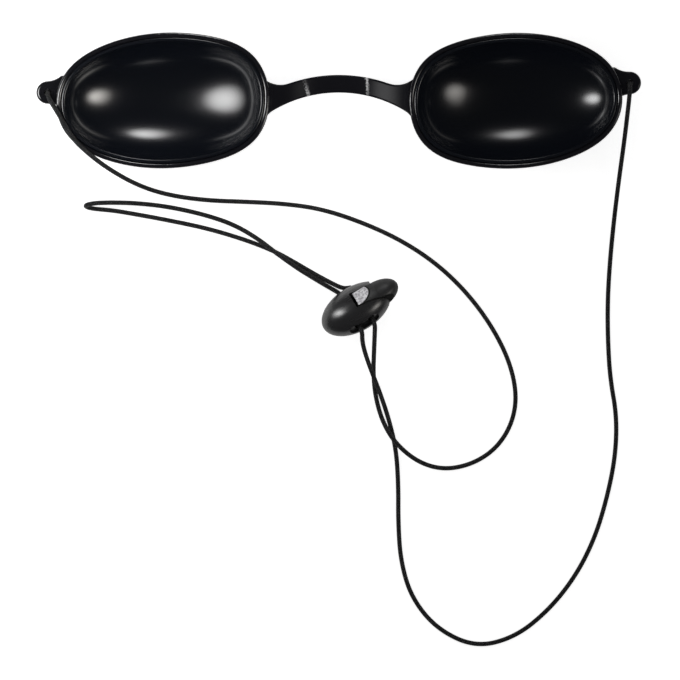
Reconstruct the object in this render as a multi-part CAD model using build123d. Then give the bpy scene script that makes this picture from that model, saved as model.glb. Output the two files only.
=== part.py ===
from build123d import *
import math
import os

# Tanning goggles, lying on a table with the open side of both cups up.
# Millimetres and degrees, +Z up, origin on the table under the middle of the goggles.

# Layout of the two cups
cup_spacing = 84.6
lie_turn = 2.4
rim_height = 13.0

# Egg outline of a ring, measured on the outside of its rim
egg_half_length = 25.67
egg_half_height = 16.37
egg_swell_shares = (0.028, 0.075, 0.080, 0.150)
egg_points = 24

# Ring of the frame
ring_wall = 1.25
ring_height = 4.8
ring_taper = 0.9
ring_crest_fillet = 0.5
ring_inner_fillet = 0.45
ledge_depth = 2.3
ledge_width = 0.6

# Cup that sits in the ring
seat_clearance = 0.1
lip_width = 0.85
lip_fillet = 0.28
cup_wall = 1.3
crown_share = 0.2
bowl_height_shares = (0.0, 0.06, 0.2, 0.42, 0.7, 1.0)

# Nose bridge, a strap that arches up in plan and bows down towards the table
strap_width = 4.25
strap_peak = 6.35
strap_top_fall = 2.12
strap_low_fall = 4.37
strap_root_depth = 1.77
strap_top_flare = 6.4
strap_low_flare = 2.8
strap_top_root_heading = 46.0
strap_low_root_heading = 74.7
strap_thickness = 2.0
strap_middle_height = 4.2
strap_root_drop = 2.1
strap_edge_fillet = 0.45
strap_crest_drop = 0.6

# Ear tab at the outer end of each ring
ear_stand_out = 1.83
ear_offset = 3.13
ear_radius = 2.72
ear_thickness = 2.2
ear_drop = 1.6
ear_flare = 1.2
ear_root = 3.4
ear_edge_fillet = 0.6
ear_hole_radius = 0.85

# Places in plan that follow from the sizes above
nose_x = cup_spacing / 2 - egg_half_length
strap_root_x = nose_x + strap_root_depth
ear_reach = egg_half_length + ear_stand_out

# Elastic cord and its tension knots
cord_diameter = 1.1
knot_radius = 1.45
knot_lobe_radius = 0.75
knot_tail_length = 2.2
knot_tail_angle = 35.0

# Share of the shorter run beside a corner that the corner's arc takes up
arc_share = 0.45

# Two-hole cord lock: an egg-shaped body, open on one side for the plunger's tongue and head
lock_centre_x = 4.19
lock_centre_y = -49.85
lock_heading = 31.0
lock_roll = 40.0
lock_rest_gap = 0.02
body_half_length = 9.16
body_half_width = 5.9
body_half_depth = 4.7
body_section_shares = (-0.97, -0.85, -0.55, 0.0, 0.55, 0.85, 0.97)
channel_face_x = 0.3
channel_low_y = -3.1
channel_top_y = 1.4
channel_back_z = -2.4
rim_end_x = 6.0
plunger_travel = 0.6
stop_clearance = 0.1
slide_clearance = 0.1
pad_height = 4.05
head_centre_x = 5.9
head_centre_y = -0.1
head_centre_z = 0.5
head_half_length = 5.7
head_half_width = 3.5
head_half_depth = 2.9
head_clearance = 0.15
left_hole_x = -1.65
hole_pitch = 3.6
hole_radius = 0.9
stem_low_y = -1.9
stem_top_y = 1.2
stem_half_depth = 1.9
stem_end_x = -4.2
stem_fillet = 0.6
pocket_end_x = -6.3
mouth_length = 8.0
mouth_height = 2.5
mouth_floor_y = -4.7
mouth_centre_x = -0.1
spring_wire = 0.3
spring_radius = 1.2
spring_turns = 3
spring_points_per_turn = 6

# One overrun for every cutting shape, and one reach past the whole lock for its open sides
overrun = 1.0
lock_reach = body_half_length + head_half_length

# Route of the cord from the left ear to the lock, as a list of points chosen by hand
left_run_points = [
    (-69.78, 1.96, 9.2), (-69.80, 1.92, 12.1), (-69.55, 0.55, 13.3), (-68.65, -1.45, 13.85),
    (-67.35, -3.75, 13.9), (-65.6, -6.5, 13.9), (-63.3, -9.6, 13.9), (-60.4, -12.3, 13.8),
    (-57.4, -14.75, 12.6), (-53.9, -17.1, 9.2), (-49.6, -19.5, 4.9), (-44.6, -21.5, 1.6),
    (-38.6, -22.9, 0.6), (-31.2, -23.8, 0.6), (-22.6, -24.1, 0.6), (-13.8, -24.5, 0.6),
    (-4.6, -25.7, 0.6), (5.0, -28.8, 0.6), (14.8, -33.2, 0.6), (23.6, -39.0, 0.6),
    (30.9, -46.0, 0.6), (36.9, -54.1, 0.6), (41.2, -62.7, 0.6), (42.9, -70.9, 0.6),
    (41.6, -77.8, 0.6), (37.8, -83.6, 0.6), (32.0, -87.3, 0.6), (25.2, -88.6, 0.7),
    (18.9, -86.7, 2.0), (13.6, -82.2, 2.9), (10.6, -77.2, 2.2), (8.9, -71.4, 0.8),
    (8.3, -65.6, 1.4), (8.45, -60.6, 5.5), (8.62, -56.3, 9.3), (8.72, -53.03, 9.49),
    (6.12, -48.69, 5.25),
]

# The spare loop on the lock's other side, from one hole to the other
tail_loop_points = [
    (6.12, -48.69, 5.25), (3.59, -44.49, 1.14), (1.1, -45.0, 0.6), (-1.7, -44.1, 0.6),
    (-5.3, -41.9, 0.6), (-9.9, -39.0, 0.6), (-15.4, -36.0, 0.6), (-22.6, -33.2, 0.6),
    (-31.6, -30.5, 0.6), (-41.2, -28.5, 0.6), (-48.8, -27.1, 0.6), (-54.2, -26.2, 0.6),
    (-57.8, -25.9, 0.6),
    (-60.0, -25.6, 0.6), (-60.8, -25.3, 1.4), (-60.85, -25.0, 2.5), (-60.1, -24.7, 3.25),
    (-58.0, -24.4, 3.2), (-54.4, -24.3, 2.3), (-49.0, -24.4, 1.2), (-41.4, -25.2, 0.6),
    (-33.0, -27.0, 0.6), (-25.6, -29.4, 1.0), (-19.7, -32.8, 2.6), (-14.6, -36.8, 2.6),
    (-9.3, -40.7, 1.4),
    (-5.1, -43.6, 0.7), (-1.7, -45.7, 0.6), (0.51, -46.34, 1.14), (3.03, -50.54, 5.25),
]

# From the lock to the right ear
right_run_points = [
    (3.03, -50.54, 5.25), (5.64, -54.88, 9.49), (5.62, -57.8, 9.3), (6.5, -61.1, 7.4),
    (8.0, -65.2, 4.4), (9.9, -70.0, 2.4), (12.0, -76.2, 0.9), (13.8, -83.6, 0.6),
    (14.35, -92.2, 0.6), (14.3, -101.4, 0.6), (14.9, -110.6, 0.6), (17.5, -119.4, 0.6),
    (23.6, -126.9, 0.6), (32.9, -131.3, 0.6), (42.4, -128.9, 0.6), (50.5, -122.4, 0.6),
    (57.0, -114.2, 0.6), (61.6, -105.1, 0.6), (64.6, -95.2, 0.6), (66.6, -85.2, 0.6),
    (66.9, -75.6, 0.6), (65.3, -66.6, 0.6), (64.75, -57.2, 0.6), (64.7, -47.6, 0.6),
    (65.3, -37.8, 0.6), (66.3, -27.8, 0.9), (67.4, -18.4, 3.8), (68.5, -9.8, 8.1),
    (69.2, -3.3, 11.4), (69.55, 0.2, 13.1), (69.75, 2.7, 13.5), (69.79, 4.26, 12.3),
    (69.77, 4.30, 9.2),
]


def egg_wire(half_length, half_height, height):
    """Egg outline: its half height swells with the powers of the cosine, most at the blunt nose end."""
    points = []
    for step in range(egg_points):
        angle = 2 * math.pi * step / egg_points
        along = math.cos(angle)
        swell = 1 + sum(share * along ** (power + 1) for power, share in enumerate(egg_swell_shares))
        points.append(Vector(half_length * along, half_height * math.sin(angle) * swell, height))
    outline = Edge.make_spline(points, periodic=True)
    quarters = [outline.trim(quarter / 4, (quarter + 1) / 4) for quarter in range(4)]
    return Wire(quarters)


def rim_wire(inset, height):
    """The rim's egg outline, drawn in evenly by an inset."""
    return egg_wire(egg_half_length - inset, egg_half_height - inset, height)


def egg_block(low_inset, top_inset, low, top):
    """Straight-walled or tapered block between two egg outlines."""
    return Solid.make_loft([rim_wire(low_inset, low), rim_wire(top_inset, top)], ruled=True)


def bowl_block(inset, low, top):
    """Bowl shape: the egg shrinks downwards as an ellipse does, to a small flat crown."""
    wires = []
    for share in bowl_height_shares:
        width_share = math.sqrt(1 - (1 - share) ** 2 * (1 - crown_share ** 2))
        half_length = (egg_half_length - inset) * width_share
        half_height = (egg_half_height - inset) * width_share
        wires.append(egg_wire(half_length, half_height, low + (top - low) * share))
    return Solid.make_loft(wires)


def place_left(shape):
    """Moves a shape from the cup's own place, nose towards +X, to the left side."""
    shift = ear_offset * math.sin(math.radians(lie_turn))
    return Pos(-cup_spacing / 2 + shift, 0, 0) * Rot(0, 0, lie_turn) * shape


def place_right(shape):
    """Mirrors a shape from the cup's own place to the right side."""
    shift = ear_offset * math.sin(math.radians(lie_turn))
    return Pos(cup_spacing / 2 + shift, 0, 0) * Rot(0, 0, lie_turn) * mirror(shape, Plane.YZ)


def ring_block():
    """Outside of a ring: tapers in downwards, with a rounded crest."""
    block = egg_block(ring_taper, 0, rim_height - ring_height, rim_height)
    crest = block.faces().sort_by(Axis.Z)[-1].edges()
    return fillet(crest, ring_crest_fillet)


def open_ring():
    """Ring with its stepped hole, rounded over on the inner side of its crest too."""
    ring = ring_block() - ring_bore()
    crest = ring.faces().sort_by(Axis.Z)[-1]
    return fillet(crest.inner_wires()[0].edges(), ring_inner_fillet)


def ring_bore():
    """The stepped hole of a ring, whose ledge carries the cup's lip."""
    ledge = rim_height - ledge_depth
    upper = egg_block(ring_wall, ring_wall, ledge, rim_height + overrun)
    low_inset = ring_wall + ledge_width
    lower = egg_block(low_inset, low_inset, rim_height - ring_height - overrun, ledge + overrun)
    return upper + lower


def ear_tab():
    """Round-ended tab beside the ring, flared where it meets the ring, with its cord hole."""
    root_x = -ear_reach + ear_root
    half_root = ear_radius + ear_flare
    tip_top = (-ear_reach, ear_offset + ear_radius)
    tip_low = (-ear_reach, ear_offset - ear_radius)
    with BuildSketch() as outline:
        with BuildLine():
            TangentArc(tip_top, (root_x, ear_offset + half_root), tangent=(1, 0))
            TangentArc(tip_low, (root_x, ear_offset - half_root), tangent=(1, 0))
            Line((root_x, ear_offset + half_root), (root_x + ear_root, ear_offset + half_root))
            Line((root_x, ear_offset - half_root), (root_x + ear_root, ear_offset - half_root))
            Line((root_x + ear_root, ear_offset + half_root), (root_x + ear_root, ear_offset - half_root))
            ThreePointArc(tip_top, (-ear_reach - ear_radius, ear_offset), tip_low)
        make_face()
    top_height = rim_height - ear_drop
    tab = Pos(0, 0, top_height - ear_thickness) * extrude(outline.sketch, ear_thickness)
    rims = tab.faces().sort_by(Axis.Z)[-1].edges() + tab.faces().sort_by(Axis.Z)[0].edges()
    return fillet(rims, ear_edge_fillet)


def ear_hole():
    """Cutting shape of the cord hole in an ear tab."""
    top_height = rim_height - ear_drop
    hole = Cylinder(ear_hole_radius, ear_thickness + 2 * overrun)
    return Pos(-ear_reach, ear_offset, top_height - ear_thickness / 2) * hole


def strap_flare(reach, height, slope, root_heading):
    """Both ends of one long side: arcs that leave it at its slope and meet the rings at a heading."""
    chord_slope = math.tan(math.radians((root_heading - slope) / 2))
    root_y = height + (strap_root_x - reach) * chord_slope
    for side in (1, -1):
        heading = (side * math.cos(math.radians(slope)), -math.sin(math.radians(slope)))
        TangentArc((side * reach, height), (side * strap_root_x, root_y), tangent=heading)
    return root_y


def strap_plan():
    """Plan outline of the strap: two arcs that flare out into the rings."""
    top_reach = strap_root_x - strap_top_flare
    low_reach = strap_root_x - strap_low_flare
    top_slope = 2 * math.degrees(math.atan(strap_top_fall / top_reach))
    low_slope = 2 * math.degrees(math.atan(strap_low_fall / low_reach))
    low_peak = strap_peak - strap_width
    top_end = strap_peak - strap_top_fall
    low_end = low_peak - strap_low_fall
    with BuildSketch() as outline:
        with BuildLine():
            ThreePointArc((-top_reach, top_end), (0, strap_peak), (top_reach, top_end))
            ThreePointArc((-low_reach, low_end), (0, low_peak), (low_reach, low_end))
            top_root = strap_flare(top_reach, top_end, top_slope, strap_top_root_heading)
            low_root = strap_flare(low_reach, low_end, low_slope, -strap_low_root_heading)
            for side in (1, -1):
                Line((side * strap_root_x, top_root), (side * strap_root_x, low_root))
        make_face()
    return outline.sketch


def strap():
    """Nose strap: the plan outline cut to a slab that bows down in the middle, below the rings' crests."""
    block = extrude(strap_plan(), rim_height - strap_crest_drop)
    bow = rim_height - strap_root_drop - strap_middle_height
    bow_radius = (nose_x ** 2 + bow ** 2) / (2 * bow)
    outer = bow_radius + strap_thickness / 2
    inner = bow_radius - strap_thickness / 2
    width = 2 * (strap_peak + strap_root_x)
    tube = Cylinder(outer, width, rotation=(90, 0, 0)) - Cylinder(inner, width, rotation=(90, 0, 0))
    bowed = block & (Pos(0, 0, strap_middle_height + bow_radius) * tube)
    long_edges = [edge for edge in bowed.edges() if abs((edge @ 0.5).X) < nose_x / 2]
    return fillet(long_edges, strap_edge_fillet)


def make_frame():
    """Rings, strap and ear tabs as one moulding."""
    frame = strap()
    for place in (place_left, place_right):
        frame += place(open_ring() + ear_tab())
    for place in (place_left, place_right):
        frame -= place(ring_bore() + ear_hole())
    return frame


def make_cup():
    """Egg-shaped bowl with a lip that rests on the ring's ledge."""
    ledge = rim_height - ledge_depth
    lip_inset = ring_wall + seat_clearance
    neck_inset = ring_wall + ledge_width + seat_clearance
    shell = bowl_block(neck_inset, 0, ledge + overrun)
    shell += egg_block(lip_inset, lip_inset, ledge, rim_height)
    hollow_inset = lip_inset + lip_width
    hollow = bowl_block(hollow_inset, cup_wall, rim_height) + egg_block(
        hollow_inset, hollow_inset, rim_height, rim_height + overrun)
    cup = shell - hollow
    return fillet(cup.faces().sort_by(Axis.Z)[-1].edges(), lip_fillet)


def make_knot():
    """Tension knot under an ear tab: two turns of cord round its core, and the cut tail."""
    height = 4 * knot_lobe_radius
    top = rim_height - ear_drop - ear_thickness
    turn = Torus(knot_radius - knot_lobe_radius, knot_lobe_radius)
    core = Cylinder(knot_radius - knot_lobe_radius, height)
    tail = Cylinder(cord_diameter / 2, knot_tail_length, align=(Align.CENTER, Align.CENTER, Align.MAX))
    knot = core + Pos(0, 0, knot_lobe_radius) * turn + Pos(0, 0, -knot_lobe_radius) * turn
    knot += Pos(0, 0, -height / 2 + knot_lobe_radius) * Rot(knot_tail_angle, 0, 0) * tail
    return Pos(-ear_reach, ear_offset, top - height / 2) * knot


def tube(points, diameter):
    """Round tube on straight runs joined by arcs, each as large as its two runs allow."""
    corners = [Vector(*point) for point in points]
    radii = []
    for before, here, after in zip(corners, corners[1:], corners[2:]):
        first = here - before
        second = after - here
        half_turn = math.radians(first.get_angle(second)) / 2
        radii.append(arc_share * min(first.length, second.length) / math.tan(half_turn))
    path = FilletPolyline(*corners, radius=radii)
    wire = path if isinstance(path, Wire) else path.wire()
    section = Plane(origin=wire @ 0, z_dir=wire % 0) * Circle(diameter / 2)
    solid = sweep(section, path=wire)
    expected = math.pi * diameter ** 2 / 4 * wire.length
    print("length %.1f radii %s" % (wire.length, " ".join("%.1f" % radius for radius in radii)))
    print("volume share %.4f" % (solid.volume / expected))
    return solid


def ellipsoid(centre, half_length, half_width, half_depth):
    """Rounded form of the lock: a loft through ellipses along X, closed to a point at both ends."""
    sections = [Vertex(-half_length, 0, 0)]
    for share in body_section_shares:
        round_share = math.sqrt(1 - share ** 2)
        section = Ellipse(half_width * round_share, half_depth * round_share)
        across = Pos(half_length * share, 0, 0) * Rot(0, 90, 0) * Rot(0, 0, 90)
        sections.append((across * section).wire())
    sections.append(Vertex(half_length, 0, 0))
    return Pos(*centre) * Solid.make_loft(sections)


def block(low, high):
    """Box between two opposite corners."""
    low_corner = Vector(*low)
    high_corner = Vector(*high)
    size = high_corner - low_corner
    return Pos((low_corner + high_corner) / 2) * Box(size.X, size.Y, size.Z)


def lock_egg():
    """The egg that the lock's body is cut from."""
    return ellipsoid((0, 0, 0), body_half_length, body_half_width, body_half_depth)


def cord_holes(offset):
    """The two cord holes along Y."""
    hole = Cylinder(hole_radius, 2 * lock_reach, rotation=(90, 0, 0))
    left = Pos(left_hole_x + offset, 0, 0) * hole
    return left + Pos(hole_pitch, 0, 0) * left


def stem_bar(end_x, clearance):
    """Bar of the plunger's stem, or its pocket when it is given the clearance."""
    low = (end_x, stem_low_y - clearance, -stem_half_depth - clearance)
    high = (head_centre_x, stem_top_y + clearance, stem_half_depth + clearance)
    bar = block(low, high)
    return fillet(bar.edges().filter_by(Axis.X), stem_fillet)


def head_room():
    """Hollow for the head in the body, over its whole travel."""
    centre = (head_centre_x - plunger_travel / 2, head_centre_y, head_centre_z)
    room = ellipsoid(centre, head_half_length + plunger_travel / 2 + head_clearance,
                     head_half_width + head_clearance, head_half_depth + head_clearance)
    return room & block((channel_face_x, channel_low_y, -lock_reach), (lock_reach, lock_reach, lock_reach))


def make_lock_body():
    """Egg with the tongue's channel, the head's hollow, the stem's pocket, the holes and their mouth."""
    body = lock_egg()
    body -= block((channel_face_x, channel_low_y, channel_back_z), (lock_reach, channel_top_y, lock_reach))
    body -= head_room()
    body -= block((rim_end_x, channel_low_y, -lock_reach), (lock_reach, lock_reach, lock_reach))
    body -= stem_bar(pocket_end_x, slide_clearance)
    body -= cord_holes(0)
    mouth = extrude(SlotOverall(mouth_length, mouth_height), lock_reach)
    mouth = Pos(mouth_centre_x, mouth_floor_y, 0) * Rot(90, 0, 0) * mouth
    return body - mouth


def make_lock_plunger():
    """Tongue with its flat pad, the rounded head beside it, and the stem that slides in the pocket."""
    face = channel_face_x + plunger_travel + stop_clearance
    low_y = channel_low_y + slide_clearance
    tongue = lock_egg() & block(
        (face, low_y, channel_back_z + slide_clearance),
        (rim_end_x + plunger_travel + stop_clearance, channel_top_y - slide_clearance, pad_height))
    centre = (head_centre_x, head_centre_y, head_centre_z)
    head = ellipsoid(centre, head_half_length, head_half_width, head_half_depth)
    head &= block((face, low_y, -lock_reach), (lock_reach, lock_reach, lock_reach))
    return tongue + head + stem_bar(stem_end_x, 0) - cord_holes(plunger_travel)


def make_lock_spring():
    """Coil spring between the pocket's end and the stem."""
    length = stem_end_x - pocket_end_x - spring_wire
    centre_y = (stem_low_y + stem_top_y) / 2
    steps = spring_turns * spring_points_per_turn
    points = []
    for step in range(steps + 1):
        angle = 2 * math.pi * step / spring_points_per_turn
        along = pocket_end_x + spring_wire / 2 + length * step / steps
        points.append((along, centre_y + spring_radius * math.cos(angle), spring_radius * math.sin(angle)))
    return tube(points, spring_wire)


def place_lock(shape):
    """Rolls a lock piece towards its mouth and stands it on the table on the body's round side."""
    roll = math.radians(lock_roll)
    height = math.hypot(body_half_width * math.sin(roll), body_half_depth * math.cos(roll))
    centre = Pos(lock_centre_x, lock_centre_y, height + lock_rest_gap)
    return centre * Rot(0, 0, lock_heading) * Rot(-lock_roll, 0, 0) * shape


def write(name, shape):
    """Writes one node."""
    export_step(shape, "parts/" + name + ".step")


os.makedirs("parts", exist_ok=True)
write("frame", make_frame())
write("left_cup", place_left(make_cup()))
write("right_cup", place_right(make_cup()))
write("left_knot", place_left(make_knot()))
write("right_knot", place_right(make_knot()))
write("cord_left_run", tube(left_run_points, cord_diameter))
write("cord_tail_loop", tube(tail_loop_points, cord_diameter))
write("cord_right_run", tube(right_run_points, cord_diameter))
write("lock_body", place_lock(make_lock_body()))
write("lock_plunger", place_lock(make_lock_plunger()))
write("lock_spring", place_lock(make_lock_spring()))
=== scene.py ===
"""Looks of the tanning goggles: glossy eye cups in a moulded frame, an elastic cord and its lock."""

import logging
import math
from dataclasses import dataclass
from enum import Enum

import bpy
import numpy as np
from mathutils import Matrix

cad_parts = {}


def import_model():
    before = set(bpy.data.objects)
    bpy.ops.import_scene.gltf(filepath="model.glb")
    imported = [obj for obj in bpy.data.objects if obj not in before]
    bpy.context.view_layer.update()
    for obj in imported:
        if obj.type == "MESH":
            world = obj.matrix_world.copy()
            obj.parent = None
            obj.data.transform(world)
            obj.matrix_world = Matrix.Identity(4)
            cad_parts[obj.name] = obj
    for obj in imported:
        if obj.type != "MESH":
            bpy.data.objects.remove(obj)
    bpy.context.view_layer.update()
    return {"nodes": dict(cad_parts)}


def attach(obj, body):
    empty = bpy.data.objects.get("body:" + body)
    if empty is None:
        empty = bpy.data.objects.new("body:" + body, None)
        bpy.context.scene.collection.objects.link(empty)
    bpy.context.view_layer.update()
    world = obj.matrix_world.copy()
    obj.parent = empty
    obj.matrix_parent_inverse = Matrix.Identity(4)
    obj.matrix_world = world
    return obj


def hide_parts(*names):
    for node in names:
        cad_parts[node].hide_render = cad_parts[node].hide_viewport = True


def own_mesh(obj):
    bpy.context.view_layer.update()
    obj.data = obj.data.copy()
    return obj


Array = np.ndarray
Piece = bpy.types.Object
Socket = bpy.types.NodeSocket
Point = tuple[float, float, float]
Colour = tuple[float, float, float]
MM = 0.001
LOG = logging.getLogger("goggles")

# Egg outline of the rings, in millimetres and in shares of its half height
EGG_HALF_LENGTH = 25.67
EGG_HALF_HEIGHT = 16.37
EGG_SWELL_SHARES = (0.028, 0.075, 0.080, 0.150)

# Where the cups and the ears' holes lie, in millimetres, and the turn of both cups in plan
CUP_SPACING = 84.6
LIE_TURN = math.radians(2.4)
RIM_HEIGHT = 13.0
EAR_REACH = 27.5
EAR_OFFSET = 3.13
EAR_UNDERSIDE = 9.2

# The cord, in millimetres
CORD_DIAMETER = 1.1

# Where the lock lies: its middle, its heading in plan, its roll towards the mouth of its holes, and
# the height of the plunger's pad above its middle line
LOCK_CENTRE = (4.19, -49.85, 5.25)
LOCK_HEADING = math.radians(31.0)
LOCK_ROLL = math.radians(40.0)
PAD_HEIGHT = 4.05

# Route of the cord from the left ear through the lock, round the spare loop, and to the right ear
LEFT_RUN = (
    (-69.78, 1.96, 9.2), (-69.80, 1.92, 12.1), (-69.5, 0.55, 13.3), (-68.3, -1.3, 13.85),
    (-66.95, -3.55, 13.9), (-65.35, -6.35, 13.9), (-63.3, -9.6, 13.9), (-60.4, -12.3, 13.8),
    (-57.4, -14.75, 12.6), (-53.9, -17.1, 9.2), (-49.6, -19.5, 4.9), (-44.6, -21.5, 1.6),
    (-38.6, -22.9, 0.6), (-31.2, -23.8, 0.6), (-22.6, -24.1, 0.6), (-13.8, -24.5, 0.6),
    (-4.6, -25.7, 0.6), (5.0, -28.8, 0.6), (14.8, -33.2, 0.6), (23.6, -39.0, 0.6),
    (30.9, -46.0, 0.6), (36.9, -54.1, 0.6), (41.2, -62.7, 0.6), (42.9, -70.9, 0.6),
    (41.6, -77.8, 0.6), (37.8, -83.6, 0.6), (32.0, -87.3, 0.6), (25.2, -88.6, 0.7),
    (18.9, -86.7, 2.0), (13.6, -82.2, 2.9), (10.6, -77.2, 2.2), (8.9, -71.4, 0.8),
    (8.3, -65.6, 1.4), (8.45, -60.6, 5.5), (8.62, -56.3, 9.3), (8.72, -53.03, 9.49),
    (6.12, -48.69, 5.25),
)
TAIL_LOOP = (
    (3.59, -44.49, 1.14), (1.2, -45.1, 0.6), (-2.0, -43.55, 0.6), (-5.8, -41.5, 0.6),
    (-10.2, -38.9, 0.6), (-15.4, -36.0, 0.6), (-22.6, -33.2, 0.6), (-31.6, -30.5, 0.6),
    (-41.2, -28.5, 0.6), (-48.8, -27.1, 0.6), (-54.2, -26.2, 0.6), (-57.8, -25.9, 0.6),
    (-60.0, -25.6, 0.6), (-60.8, -25.3, 1.4), (-60.85, -25.0, 2.5), (-60.1, -24.7, 3.25),
    (-58.0, -24.4, 3.2), (-54.4, -24.3, 2.3), (-49.0, -24.4, 1.2), (-41.4, -25.2, 0.6),
    (-33.0, -27.0, 0.6), (-25.6, -29.4, 1.0), (-19.7, -32.8, 2.6), (-14.6, -36.8, 2.6),
    (-9.8, -40.2, 1.9), (-6.6, -42.15, 1.4), (-3.5, -44.0, 1.15), (-1.4, -45.2, 0.95),
    (0.51, -46.34, 1.14), (3.03, -50.54, 5.25),
)
RIGHT_RUN = (
    (5.64, -54.88, 9.49), (5.62, -57.8, 9.3), (6.5, -61.1, 7.4),
    (8.0, -65.2, 4.4), (9.9, -70.0, 2.4), (12.0, -76.2, 0.9), (13.8, -83.6, 0.6),
    (14.35, -92.2, 0.6), (14.3, -101.4, 0.6), (14.9, -110.6, 0.6), (17.5, -119.4, 0.6),
    (23.6, -126.9, 0.6), (32.9, -131.3, 0.6), (42.4, -128.9, 0.6), (50.5, -122.4, 0.6),
    (57.0, -114.2, 0.6), (61.6, -105.1, 0.6), (64.6, -95.2, 0.6), (66.6, -85.2, 0.6),
    (66.9, -75.6, 0.6), (65.3, -66.6, 0.6), (64.75, -57.2, 0.6), (64.7, -47.6, 0.6),
    (65.3, -37.8, 0.6), (66.3, -27.8, 0.9), (67.4, -18.4, 3.8), (68.5, -9.8, 8.1),
    (69.2, -3.3, 11.4), (69.55, 0.2, 13.1), (69.75, 2.7, 13.5), (69.79, 4.26, 12.3),
    (69.77, 4.30, 9.2),
)

# A direction that no line here starts along; the first ring of a tube starts square to it
TUBE_START = (0.3, 0.2, 0.9)

# The UV map's name, the colour sockets of a Mix node, and the middles of a noise and of a lamp's face
UV_NAME = "UVMap"
MIX_FIRST = 6
MIX_SECOND = 7
MIX_RESULT = 2
NOISE_MIDDLE = 0.5
FACE_MIDDLE = (0.5, 0.5, 0.0)

# Specks in moulded plastic: their spread, the distances over which one fades out, and how much paler it is
SPECK_SCALE = 260.0
SPECK_FADE = (0.015, 0.03)
SPECK_GAIN = 2.2
SPECK_LIFT = 0.004
SPECK_SHARE = 0.5

# Flecks of the braid: the scale of their noise, and the values over which a fleck comes up
FLECK_SCALE = 1.3
FLECK_RANGE = (0.56, 0.66)


class Side(Enum):
    """The two sides of the goggles, by the sign of their X."""

    LEFT = -1
    RIGHT = 1


class Slot(Enum):
    """Material slots of the record, one for each kind of new piece."""

    CUP = "cup_plastic"
    CORD = "cord"
    SPRING = "spring_steel"


def egg(inset: Array, share: Array, angle: Array) -> Array:
    """Egg outline in the cup's own place, with the nose towards +X.

    x = a cos t and y = b sin t (1 + swell), where the swell is a sum of powers of cos t, and both
    half sizes a and b are drawn in by the inset and then scaled by the share.

    Args:
        inset: distance inside the ring's outline, in millimetres.
        share: scale of the drawn-in outline, 1 at the wall and 0 at the middle.
        angle: angles t round the outline.

    Returns:
        The x and y of each point, with a last axis of 2.
    """
    along = np.cos(angle)
    swell = 1 + sum(part * along ** (power + 1) for power, part in enumerate(EGG_SWELL_SHARES))
    x = (EGG_HALF_LENGTH - inset) * share * along
    y = (EGG_HALF_HEIGHT - inset) * share * np.sin(angle) * swell
    return np.stack([x, y], axis=-1)


def place_at(side: Side, points: Array) -> Array:
    """Moves points from a cup's own place to its side, mirrored for the right one.

    Args:
        side: the side to move them to.
        points: points in millimetres, with a last axis of 3.

    Returns:
        The moved points.
    """
    x = -side.value * points[..., 0]
    centre_x = side.value * CUP_SPACING / 2 + EAR_OFFSET * math.sin(LIE_TURN)
    turned_x = x * math.cos(LIE_TURN) - points[..., 1] * math.sin(LIE_TURN)
    turned_y = x * math.sin(LIE_TURN) + points[..., 1] * math.cos(LIE_TURN)
    return np.stack([centre_x + turned_x, turned_y, points[..., 2]], axis=-1)


def round_surface(name: str, rows: Array, first: Array, last: Array, along: Array) -> Piece:
    """Makes a closed piece from rings of points and a pole at each end.

    Args:
        name: name of the object.
        rows: rings of points in millimetres, shaped (rings, points, 3); each ring closes on itself.
        first: the pole before the first ring.
        last: the pole after the last ring.
        along: the V of each ring in the piece's UV map; U runs once round.

    Returns:
        The new object, shaded smooth, with its faces outwards.
    """
    rings, count = rows.shape[:2]
    ids = np.arange(rings * count).reshape(rings, count)
    ahead = np.roll(ids, -1, axis=1)
    quads = np.stack([ids[:-1], ahead[:-1], ahead[1:], ids[1:]], axis=-1).reshape(-1, 4)
    pole_a = rings * count
    pole_b = pole_a + 1
    fan_a = np.stack([np.full(count, pole_a), ahead[0], ids[0]], axis=-1)
    fan_b = np.stack([np.full(count, pole_b), ids[-1], ahead[-1]], axis=-1)
    points = np.concatenate([rows.reshape(-1, 3), [first], [last]]) * MM
    mesh = bpy.data.meshes.new(name)
    mesh.from_pydata(points, [], quads.tolist() + fan_a.tolist() + fan_b.tolist())
    turn = np.arange(count) / count
    low = np.stack(np.broadcast_arrays(turn, along[:-1, None]), axis=-1)
    high = np.stack(np.broadcast_arrays(turn, along[1:, None]), axis=-1)
    right = np.array([1 / count, 0.0])
    body_uv = np.stack([low, low + right, high + right, high], axis=2).reshape(-1, 2)
    near = np.stack([turn, np.full(count, along[0])], axis=-1)
    far = np.stack([turn, np.full(count, along[-1])], axis=-1)
    fan_a_uv = np.stack([near, near + right, near], axis=1).reshape(-1, 2)
    fan_b_uv = np.stack([far, far, far + right], axis=1).reshape(-1, 2)
    layer = mesh.uv_layers.new(name=UV_NAME)
    layer.data.foreach_set("uv", np.concatenate([body_uv, fan_a_uv, fan_b_uv]).ravel())
    mesh.validate()
    mesh.shade_smooth()
    piece = bpy.data.objects.new(name, mesh)
    bpy.context.scene.collection.objects.link(piece)
    return piece


def hand_on(piece: Piece, body: str, slot: Slot, *nodes: str) -> None:
    """Fixes a piece to a body and hides the solids that it stands for.

    Args:
        piece: the finished piece.
        body: name of the body that carries it.
        slot: the record's material slot; not used.
        nodes: names of the solids that the piece replaces.
    """
    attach(piece, body)
    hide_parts(*nodes)
    LOG.info("%s rides on %s, %d faces", piece.name, body, len(piece.data.polygons))


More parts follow.
